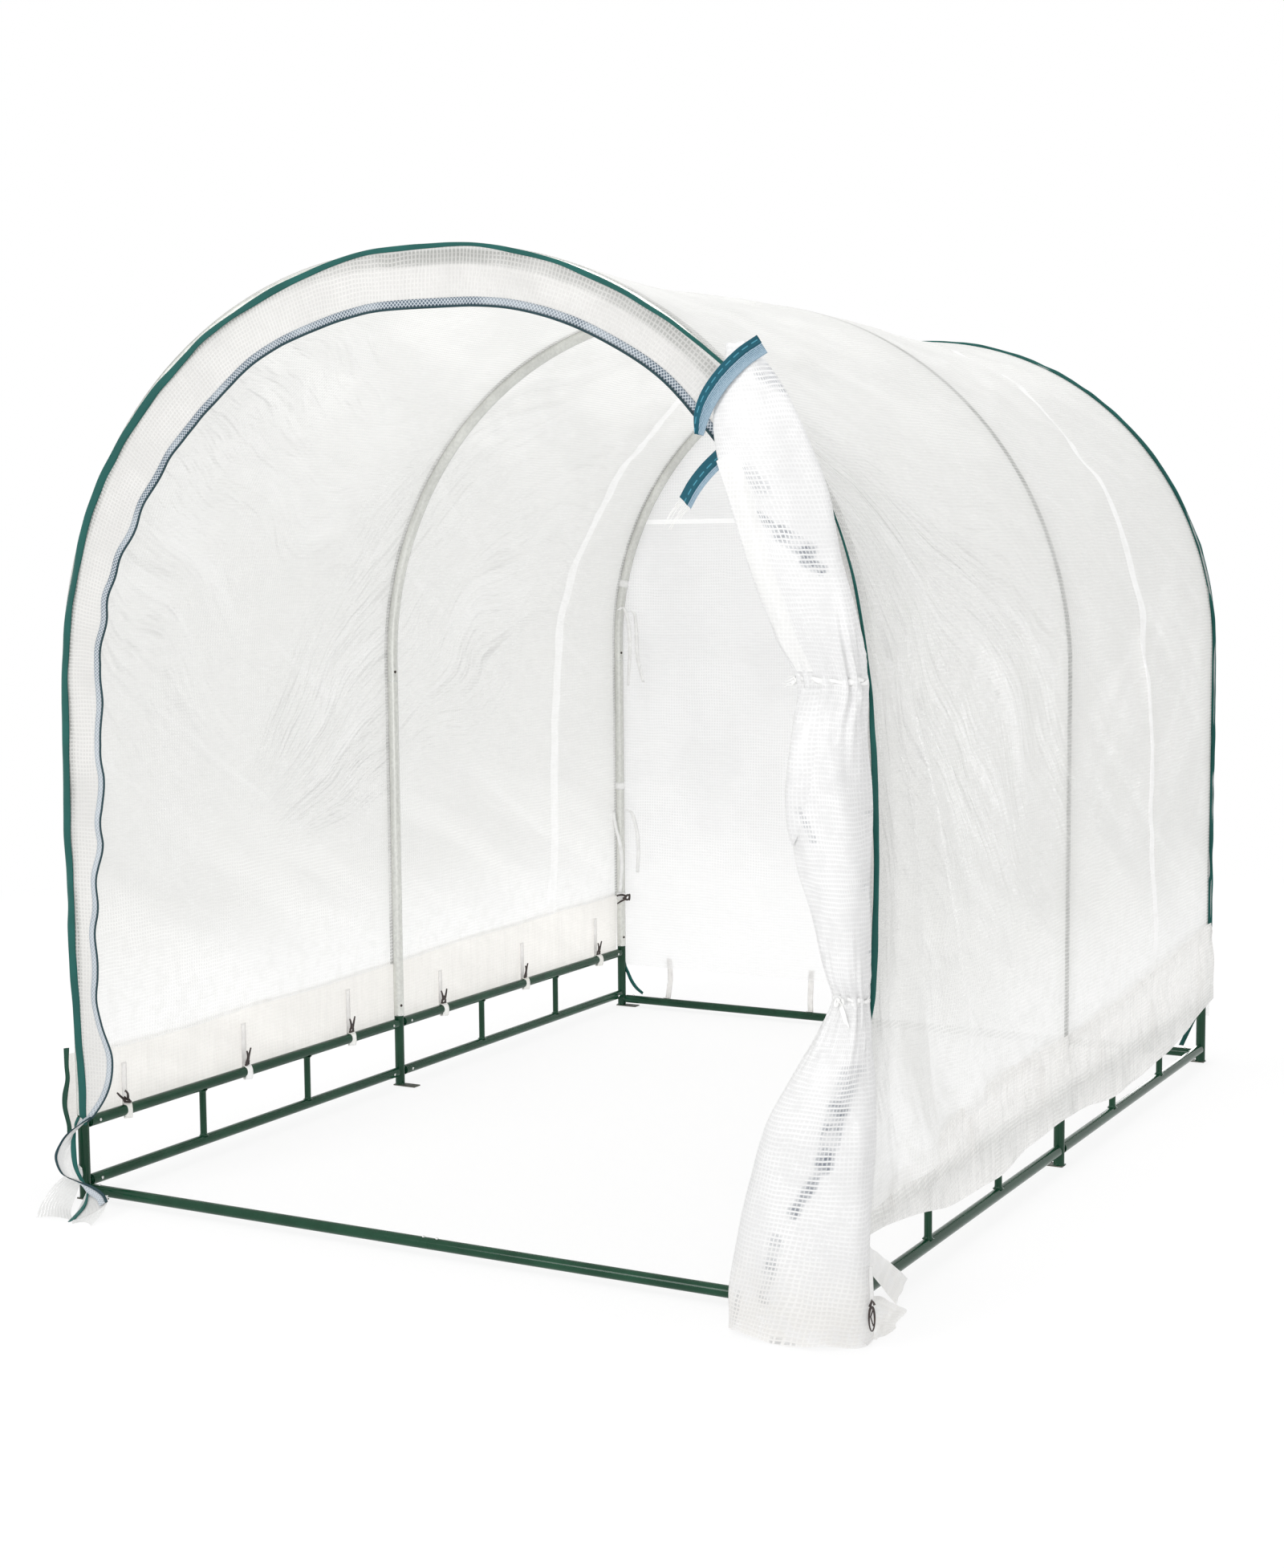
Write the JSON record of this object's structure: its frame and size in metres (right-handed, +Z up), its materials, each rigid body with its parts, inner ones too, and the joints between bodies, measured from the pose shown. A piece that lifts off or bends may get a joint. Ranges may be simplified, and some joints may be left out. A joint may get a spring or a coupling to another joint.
{
  "type": "polytunnel greenhouse",
  "caption": "Walk-in tunnel greenhouse: steel arches on a green ladder base frame under a translucent film cover, rear door zipped shut, front door tied open at one side.",
  "frame": {"origin": "on the ground, on the centre line of the tunnel, midway between the frontmost point of the tied-up door's hem and the rear piping", "axes": "+X to the right as seen from the open front, +Y from the front to the rear, +Z up"},
  "size_m": [1.916, 2.6356, 2.0061],
  "materials": {
    "green_paint": "gloss powder coat",
    "foot_steel": "bare plated steel",
    "galvanised_steel": "galvanised",
    "cover_film": "woven-reinforced translucent film",
    "end_film": "woven-reinforced translucent film",
    "skirt_film": "opaque white woven film",
    "teal_binding": "woven binding",
    "zip_tape": "coil zip on woven tape",
    "white_webbing": "woven tape",
    "black_plastic": "moulded plastic"
  },
  "bodies": {
    "root": {"arch_loops": "white_webbing", "cover_left_shoulder": "cover_film", "cover_left_wall": "cover_film", "cover_right_shoulder": "cover_film", "cover_right_wall": "cover_film", "door_flap": "end_film", "door_ties": "white_webbing", "flap_zip_tape": "zip_tape", "foot_plates": "foot_steel", "front_arch_bends": "galvanised_steel", "front_arch_legs": "galvanised_steel", "front_band_arch": "end_film", "front_band_sides": "end_film", "front_ground_bar": "green_paint", "front_left_post": "green_paint", "front_piping": "teal_binding", "front_right_post": "green_paint", "front_zip": "zip_tape", "front_zip_tail": "end_film", "left_balusters": "green_paint", "left_bottom_rails": "green_paint", "left_skirt": "skirt_film", "left_top_rails": "green_paint", "middle_arch_bends": "galvanised_steel", "middle_arch_legs": "galvanised_steel", "middle_left_post": "green_paint", "middle_right_post": "green_paint", "rail_straps": "white_webbing", "rear_arch_bends": "galvanised_steel", "rear_arch_legs": "galvanised_steel", "rear_band": "end_film", "rear_door": "end_film", "rear_ground_bar": "green_paint", "rear_left_post": "green_paint", "rear_piping": "teal_binding", "rear_right_post": "green_paint", "rear_straps": "white_webbing", "rear_zip": "zip_tape", "rear_zip_tail": "teal_binding", "right_balusters": "green_paint", "right_bottom_rails": "green_paint", "right_skirt": "skirt_film", "right_top_rails": "green_paint", "snap_hooks": "black_plastic", "tie_tapes": "white_webbing"}
  },
  "joints": []
}
